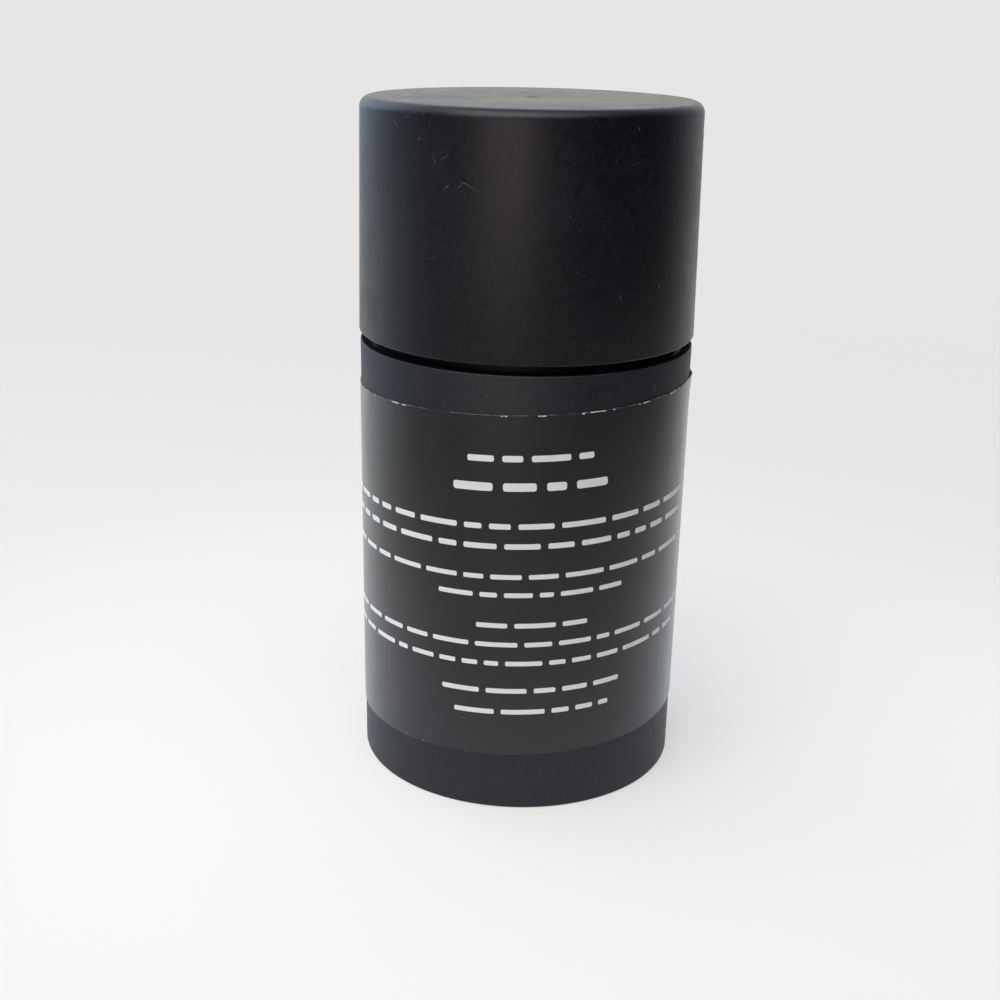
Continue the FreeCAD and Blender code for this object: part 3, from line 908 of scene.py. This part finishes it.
def flat_bar(along, up, length, thickness):
    """A thin flat bar with round ends on the flat label."""
    step = 0.6 * MM
    parts = max(2, round(length / step))
    deselect_all()
    bpy.ops.mesh.primitive_grid_add(x_subdivisions=parts, y_subdivisions=1, size=1)
    bar = bpy.context.active_object
    bar.scale = (length, thickness, 1)
    bar.location = (along, up, 0)
    bar = name_piece("bar")
    edit(bar)
    pick(bar, "VERT", lambda p: abs(abs(p.x - along) - length / 2) < TOLERANCE)
    bpy.ops.mesh.bevel(offset=thickness * 0.3, segments=3, affect="VERTICES")
    end_edit()
    return bar


def join(pieces, name):
    """Joins pieces into one."""
    deselect_all()
    for piece in pieces:
        piece.select_set(True)
    bpy.context.view_layer.objects.active = pieces[0]
    bpy.ops.object.join()
    joined = bpy.context.active_object
    joined.name = name
    joined.data.name = name
    return joined


class STICK_OT_print(bpy.types.Operator):
    """Lay rows of plain pale bars on the label, each as long as a word might be"""

    bl_idname = "stick.print"
    bl_label = "Plain Print"

    def execute(self, context):
        sizes = context.scene.stick_sizes
        middle = sizes.label_top - sizes.label_height / 2
        chance = random.Random(7)
        bars = []
        for height, half, thickness in PRINT_ROWS:
            up = height * MM - middle
            gap = thickness * 0.9 + 0.35
            along = -half
            while along < half:
                length = chance.uniform(*WORD_LENGTHS) * (0.5 + thickness * 0.6)
                if half - along - length < gap + SHORTEST_WORD:
                    length = half - along
                place = (PRINT_CENTRE + along + length / 2) * MM
                bars.append(flat_bar(place, up, length * MM, thickness * MM))
                along += length + gap
        ink = join(bars, "label_print")
        lay_on_label(ink, sizes, thickness=0.012 * MM)
        smooth(ink, 50.0)
        dress(ink, "label_ink")
        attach(ink, "barrel")
        return {"FINISHED"}


class STICK_OT_chips(bpy.types.Operator):
    """Lay the small white chips along the label's upper edge"""

    bl_idname = "stick.chips"
    bl_label = "Edge Chips"

    def execute(self, context):
        sizes = context.scene.stick_sizes
        top = sizes.label_height / 2
        chance = random.Random(3)
        overhang = 0.015 * MM
        chips = []
        for along, length, depth in CHIPS:
            deselect_all()
            bpy.ops.mesh.primitive_circle_add(vertices=14, radius=0.5, fill_type="NGON")
            chip = bpy.context.active_object
            chip.scale = (length * MM, depth * MM, 1)
            flat = along * MM + sizes.label_skew * top
            chip.location = (flat, top - depth * 0.42 * MM, 0)
            chip = name_piece("chip")
            for vertex in chip.data.vertices:
                vertex.co.x += chance.uniform(-0.05, 0.05) * length * MM
                vertex.co.y += chance.uniform(-0.14, 0.14) * depth * MM
                vertex.co.y = min(vertex.co.y, top + overhang)
            chips.append(chip)
        chips = join(chips, "label_chips")
        lay_on_label(chips, sizes, thickness=0.02 * MM)
        dress(chips, "label_core")
        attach(chips, "barrel")
        return {"FINISHED"}


def fibre(start, end, swing, radius_at, thickness):
    """A lint fibre that lies on a round wall, bent by its swing up and, in waves, sideways."""
    deselect_all()
    bpy.ops.curve.primitive_nurbs_path_add(radius=MM)
    curve = bpy.context.active_object
    curve.data.splines.remove(curve.data.splines[0])
    spline = curve.data.splines.new("NURBS")
    spline.points.add(FIBRE_STEPS)
    for step, point in enumerate(spline.points):
        share = step / FIBRE_STEPS
        height = (start[1] + (end[1] - start[1]) * share) * MM
        height += swing * MM * math.sin(math.pi * share)
        degrees = start[0] + (end[0] - start[0]) * share
        degrees += 1.2 * swing * math.sin(2.5 * math.pi * share)
        point.co = (*on_pack(radius_at(height) + thickness * 0.8, degrees, height), 1)
    spline.order_u = 3
    spline.use_endpoint_u = True
    curve.data.bevel_depth = thickness
    curve.data.bevel_resolution = 1
    curve.data.resolution_u = 4
    curve.data.use_fill_caps = True
    bpy.ops.object.convert(target="MESH")
    return bpy.context.active_object


def speck(degrees, height, size, radius_at, chance):
    """A flattened grain of dust on a round wall."""
    deselect_all()
    place = on_pack(radius_at(height * MM) + size * 0.2 * MM, degrees, height * MM)
    bpy.ops.mesh.primitive_ico_sphere_add(subdivisions=1, radius=size * MM, location=place)
    grain = bpy.context.active_object
    grain.rotation_euler = (0, 0, math.radians(degrees))
    grain.scale = (chance.uniform(0.7, 1.3), 0.45, chance.uniform(0.7, 1.2))
    return name_piece("grain")


def dust_piece(name, body, fibres, thickness, specks, radius_at, heights, count, seed):
    """Joins a body's fibres, its placed specks and a seeded scatter of small ones."""
    finest, spread = 0.022, 0.03
    chance = random.Random(seed)
    made = [fibre(*run, radius_at, thickness) for run in fibres]
    for degrees, height, size in specks:
        made.append(speck(degrees, height, size, radius_at, chance))
    for _ in range(count):
        degrees = chance.uniform(-180, 180)
        height = chance.uniform(*heights)
        size = finest + spread * chance.random() ** 3
        made.append(speck(degrees, height, size, radius_at, chance))
    lint = join(made, name)
    dress(lint, "lint_grey")
    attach(lint, body)


class STICK_OT_lint(bpy.types.Operator):
    """Lay lint fibres and specks of dust on the cap and the sleeve"""

    bl_idname = "stick.lint"
    bl_label = "Lint and Dust"

    def execute(self, context):
        sizes = context.scene.stick_sizes
        low, high = CAP_LOW.z / MM + 0.5, CAP_HIGH.z / MM - 2.0
        dust_piece(
            "cap_lint", "cap", CAP_FIBRES, 0.016 * MM, CAP_SPECKS,
            lambda z: cap_radius(sizes, z), heights=(low, high), count=130, seed=11,
        )
        dust_piece(
            "sleeve_lint", "barrel", SLEEVE_FIBRES, 0.028 * MM, SLEEVE_SPECKS,
            lambda z: barrel_radius(sizes, z), heights=(0.6, 7.0), count=40, seed=12,
        )
        return {"FINISHED"}


class STICK_OT_inner(bpy.types.Operator):
    """Give the pieces that come from the frame their finishes"""

    bl_idname = "stick.inner"
    bl_label = "Inner Pieces"

    def execute(self, context):
        finishes = {
            "inner_barrel": "neck_plastic", "cap_liner": "neck_plastic", "dial": "dial_plastic",
            "factory_seal": "milky_plastic", "elevator_cup": "milky_plastic",
            "spindle": "milky_plastic", "spindle_seal": "ring_rubber", "gel_stick": "stick_gel",
        }
        for node, slot in finishes.items():
            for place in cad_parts[node].material_slots:
                place.material = finish(slot)
        return {"FINISHED"}


def add_lamp(name, place, target, size, power, colour):
    """A soft rectangular lamp that shines at a point and isn't seen itself."""
    deselect_all()
    bpy.ops.object.light_add(type="AREA", location=place)
    lamp = bpy.context.active_object
    lamp.name = name
    lamp.data.shape = "RECTANGLE"
    lamp.data.size, lamp.data.size_y = size
    lamp.data.energy = power
    lamp.data.color = colour
    lamp.rotation_euler = (Vector(target) - Vector(place)).to_track_quat("-Z", "Y").to_euler()
    lamp.visible_camera = False


def floor_material(stage):
    """White paper that keeps the shadow and fades into the backdrop far from the pack.

    The camera sees it as written. Other rays see painted shade on it, at the pack's foot and
    towards the room in front and to the right, and painted cool light behind on the left.
    """
    material, tree, places = new_material("sweep_paper")
    path = add(tree, "ShaderNodeLightPath")
    seen, mirrored = path.output("Is Camera Ray"), path.output("Is Glossy Ray")
    distance = add(tree, "ShaderNodeVectorMath", {"operation": "LENGTH"}, [places]).output("Value")
    heading = add(tree, "ShaderNodeVectorMath", {"operation": "NORMALIZE"}, [places])
    axes = add(tree, "ShaderNodeSeparateXYZ", {}, [heading])
    side, front = axes.output("X"), axes.output("Y") * -1.0

    # Shares of painted shade, which only rays other than the camera's see: at the foot of the pack,
    # and farther off, darker towards the room in front and to the right
    foot = (front + side * 0.15).ramp(-0.20, 0.85)
    foot = (0.23 + 0.17 * distance.ramp(0.035, 0.075)) * foot
    right = side.ramp(0.0, 0.9)
    room = 0.60 + 0.27 * right + 0.14 * distance.ramp(0.3, 0.7) * side.ramp(-0.6, 0.1)
    room = room + 0.36 * (1.0 - right) * (1.0 - distance.ramp(0.16, 0.30))
    room = room * (front + side * 0.12).ramp(-1.0, 0.1)
    dark = foot + (room - foot) * distance.ramp(0.05, 0.27)

    # How much painted cool window light a place gets; only rays other than the camera's see it
    cool = (1.0 - side.ramp(-0.90, -0.30)) * (1.0 - front.ramp(-0.3, 0.4))
    cool = cool * distance.ramp(0.08, 0.35)
    # Painted light in the colour that rays other than the camera's see: paler behind the pack, cool
    # where the painted window light falls, and a cool tint close to the pack
    painted_tone = blend(tree, front.ramp(-0.5, 0.1), (0.96, 0.95, 0.94), stage.floor)
    painted_tone = blend(tree, cool, painted_tone, (0.84, 0.97, 1.0))
    painted_tone = blend(tree, distance.ramp(0.03, 0.14), (0.89, 0.92, 0.965), painted_tone)
    # Painted shade: the shares above darken that colour towards near black
    paper_and_painted_shade = blend(tree, dark * (1.0 - 0.8 * cool), painted_tone, (0.03, 0.03, 0.035))
    paper_and_painted_shade = blend(tree, seen, paper_and_painted_shade, stage.floor)
    normal = bump(tree, noise(tree, places, 900.0, 3.0), 0.02 * MM)
    inputs = {"Base Color": paper_and_painted_shade, "Roughness": 0.9, "Specular IOR Level": 0.1, "Normal": normal}
    paper = add(tree, "ShaderNodeBsdfPrincipled", {}, inputs)

    # The share that glows, which keeps the shadow near the pack and the backdrop's white far off as
    # the camera sees it.
    # Glossy rays see 0.65 of the floor as a painted glow in its colour with the painted shade and
    # light, which lightens the real shadow at the pack's foot in the pack's reflections
    shine = blend(tree, distance.ramp(0.05, 0.16), stage.near_floor, stage.backdrop)
    shine = blend(tree, seen, paper_and_painted_shade, shine)
    glow = add(tree, "ShaderNodeEmission", {}, {"Color": shine, "Strength": 1.0})
    share = (0.45 + 0.55 * distance.ramp(0.06, 0.50)) * seen + mirrored * 0.65
    shown = add(tree, "ShaderNodeMixShader", {}, [share, paper, glow])

    # A camera below the floor looks through it
    below = add(tree, "ShaderNodeNewGeometry").output("Backfacing") * seen
    clear = add(tree, "ShaderNodeBsdfTransparent")
    whole = add(tree, "ShaderNodeMixShader", {}, [below, shown, clear])
    add(tree, "ShaderNodeOutputMaterial", {}, {"Surface": whole})
    return material


def light_world(stage):
    """A soft studio: pale behind, cool to the left, a dim room in front and a ceiling above."""
    world = bpy.data.worlds.new("studio")
    bpy.context.scene.world = world
    world.use_nodes = True
    tree = world.node_tree
    tree.nodes.clear()
    way = add(tree, "ShaderNodeTexCoord")
    axes = add(tree, "ShaderNodeSeparateXYZ", {}, [way])
    side, back, up = (axes.output(n) for n in ("X", "Y", "Z"))
    room = blend(tree, side.ramp(-0.90, 0.10), (0.08, 0.10, 0.14), (0.022, 0.022, 0.028))
    rear = blend(tree, side.ramp(-0.50, 0.80), (0.95, 1.32, 1.75), (0.50, 0.55, 0.62))
    rear = blend(tree, back.ramp(0.80, 0.97), rear, (1.15, 1.12, 1.05))
    colour = blend(tree, back.ramp(0.05, 0.80), room, rear)
    above = blend(tree, side.ramp(-0.4, 0.5), (0.62, 0.62, 0.63), (0.22, 0.22, 0.23))
    colour = blend(tree, up.ramp(0.50, 0.98), colour, above)
    seen = add(tree, "ShaderNodeLightPath").output("Is Camera Ray")
    colour = blend(tree, seen, colour, stage.backdrop)
    light = add(tree, "ShaderNodeBackground", {}, {"Color": colour, "Strength": 1.0})
    add(tree, "ShaderNodeOutputWorld", {}, {"Surface": light})


def add_camera(stage):
    """The camera at the photograph's place and angle."""
    yaw, pitch, roll = stage.camera_turn
    ahead = Vector((
        math.sin(yaw) * math.cos(pitch), math.cos(yaw) * math.cos(pitch), -math.sin(pitch),
    ))
    level = Vector((math.cos(yaw), -math.sin(yaw), 0))
    upright = level.cross(ahead)
    across = math.cos(roll) * level + math.sin(roll) * upright
    upward = -math.sin(roll) * level + math.cos(roll) * upright
    turn = Matrix((across, upward, -ahead)).transposed()
    deselect_all()
    bpy.ops.object.camera_add(location=stage.camera_place, rotation=turn.to_euler())
    camera = bpy.context.active_object
    camera.data.lens = stage.lens
    camera.data.clip_start = 0.01
    camera.data.clip_end = 20.0
    bpy.context.scene.camera = camera


class STICK_OT_stage(bpy.types.Operator):
    """Set up the floor, the soft lamps, the backdrop and the camera"""

    bl_idname = "stick.stage"
    bl_label = "Stage"

    def execute(self, context):
        stage = context.scene.stick_stage
        deselect_all()
        bpy.ops.mesh.primitive_circle_add(vertices=96, radius=4.0, fill_type="NGON")
        floor = name_piece("floor")
        floor.data.materials.append(floor_material(stage))
        light_world(stage)
        for lamp in LAMPS:
            add_lamp(*lamp)
        add_camera(stage)
        context.scene.view_settings.view_transform = "Standard"
        return {"FINISHED"}


STEPS = [
    STICK_OT_cap, STICK_OT_sleeve, STICK_OT_label, STICK_OT_print, STICK_OT_chips,
    STICK_OT_lint, STICK_OT_inner, STICK_OT_stage,
]


class STICK_PT_panel(bpy.types.Panel):
    """Lists the steps that build the stick"""

    bl_idname = "STICK_PT_panel"
    bl_label = "Twist-up Stick"
    bl_space_type = "VIEW_3D"
    bl_region_type = "UI"
    bl_category = "Stick"

    def draw(self, context):
        for step in STEPS:
            self.layout.operator(step.bl_idname)
        for group in ("stick_sizes", "stick_colours", "stick_stage"):
            settings = getattr(context.scene, group)
            for name in settings.__annotations__:
                self.layout.prop(settings, name)


CLASSES = [StickSizes, StickColours, StickStage, *STEPS, STICK_PT_panel]


def register():
    for group in CLASSES:
        bpy.utils.register_class(group)
    bpy.types.Scene.stick_sizes = PointerProperty(type=StickSizes)
    bpy.types.Scene.stick_colours = PointerProperty(type=StickColours)
    bpy.types.Scene.stick_stage = PointerProperty(type=StickStage)


def unregister():
    del bpy.types.Scene.stick_stage
    del bpy.types.Scene.stick_colours
    del bpy.types.Scene.stick_sizes
    for group in reversed(CLASSES):
        bpy.utils.unregister_class(group)


def main():
    register()
    bpy.ops.stick.cap()
    bpy.ops.stick.sleeve()
    bpy.ops.stick.label()
    bpy.ops.stick.print()
    bpy.ops.stick.chips()
    bpy.ops.stick.lint()
    bpy.ops.stick.inner()
    bpy.ops.stick.stage()


if __name__ == "__main__":
    main()
